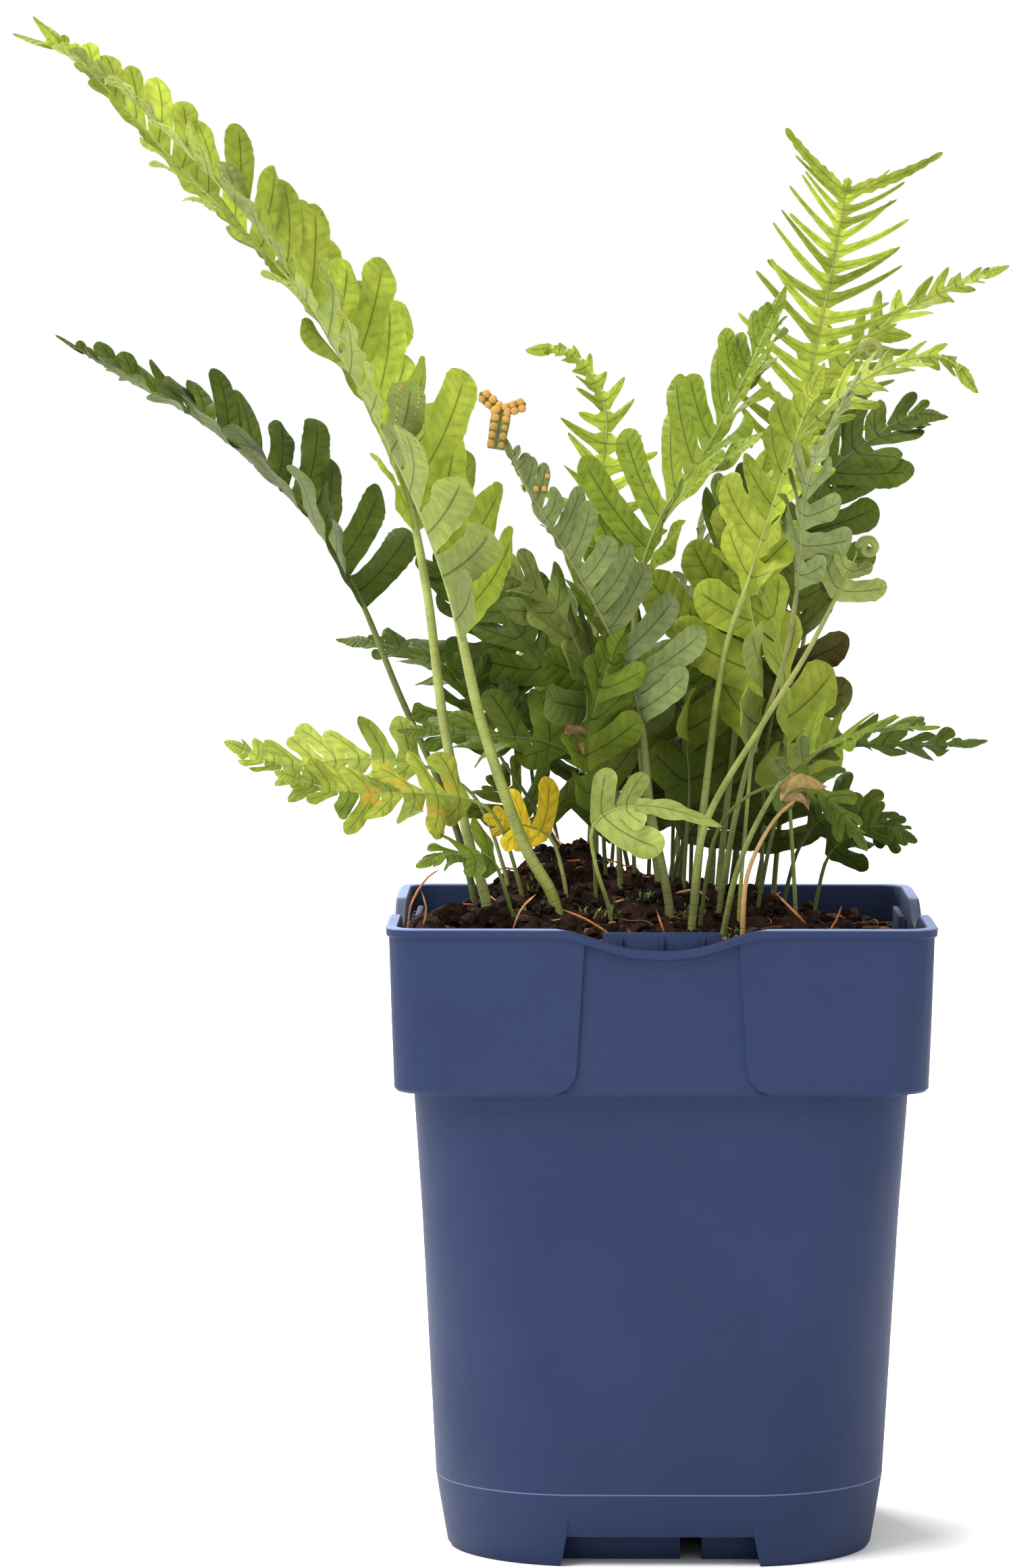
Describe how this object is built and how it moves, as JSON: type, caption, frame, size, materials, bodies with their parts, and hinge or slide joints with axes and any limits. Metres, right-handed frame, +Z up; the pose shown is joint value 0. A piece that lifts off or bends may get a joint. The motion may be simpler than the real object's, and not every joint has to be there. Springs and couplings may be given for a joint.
{
  "type": "common polypody in a square nursery pot",
  "caption": "A common polypody fern with long deeply cut fronds growing from a mound of dark soil in a blue square plastic nursery pot.",
  "frame": {"origin": "centre of the pot's underside, on the small round hub that reaches the ground", "axes": "+Z up along the pot, +X to the right and +Y away from the viewer in the picture's view, parallel to the pot's sides"},
  "size_m": [0.2057, 0.1638, 0.3144],
  "materials": {
    "pot_plastic": "satin moulded blue plastic",
    "soil": "rough dark peat with fibres",
    "leaf_bright": "satin leaf surface",
    "leaf_deep": "satin leaf surface",
    "leaf_pale": "satin leaf surface",
    "leaf_spotted": "satin leaf surface",
    "leaf_mid": "satin leaf surface",
    "leaf_yellow": "satin leaf surface",
    "leaf_palest": "satin leaf surface",
    "leaf_grey": "satin leaf surface",
    "leaf_fresh": "satin leaf surface",
    "stem_green": "smooth green stalk",
    "leaf_browned": "satin leaf surface",
    "dry_stem": "dry brown stalk"
  },
  "bodies": {
    "root": {"pot": "pot_plastic", "soil": "soil", "frond_tall_front": "leaf_bright", "frond_tall_back": "leaf_bright", "frond_deep_left": "leaf_deep", "frond_small_left": "leaf_deep", "frond_low_left_back": "leaf_pale", "frond_low_left_front": "leaf_spotted", "frond_low_rim": "leaf_mid", "frond_yellow": "leaf_yellow", "frond_pale_front": "leaf_palest", "frond_mid_left": "leaf_mid", "frond_centre_grey": "leaf_grey", "frond_centre_back": "leaf_bright", "frond_bumpy": "leaf_fresh", "frond_tall_right": "leaf_bright", "frond_far_right": "leaf_bright", "frond_right_curled": "leaf_bright", "frond_deep_right": "leaf_deep", "frond_broad_right": "leaf_bright", "frond_young_bud": "stem_green", "frond_browned": "leaf_browned", "frond_low_right_front": "leaf_mid", "frond_low_right_back": "leaf_deep", "frond_drooping": "leaf_deep", "frond_inner_right": "leaf_deep", "frond_inner_left": "leaf_deep", "frond_inner_back": "leaf_mid", "frond_centre_low": "leaf_grey", "frond_right_fresh": "leaf_bright", "frond_low_deep_right": "leaf_deep", "frond_rear": "leaf_mid", "frond_rear_left": "leaf_fresh", "frond_coiled": "stem_green", "dry_stalk": "dry_stem", "frond_centre_broad": "leaf_mid", "frond_right_bright": "leaf_bright", "frond_right_grey": "leaf_grey", "frond_behind_bumpy": "leaf_deep", "frond_small_right": "leaf_deep", "frond_left_dark": "leaf_deep", "frond_right_yellow": "leaf_bright", "frond_centre_rise": "leaf_fresh", "frond_left_low_dark": "leaf_deep", "frond_rear_right": "leaf_fresh", "frond_rear_centre": "leaf_mid", "frond_mid_right": "leaf_fresh", "frond_bright_back": "leaf_bright", "frond_low_centre_dark": "leaf_deep", "frond_low_right_rise": "leaf_mid", "frond_low_centre_back": "leaf_deep", "frond_low_left_centre": "leaf_mid", "frond_centre_right_mid": "leaf_mid", "frond_centre_dark": "leaf_deep"}
  },
  "joints": []
}
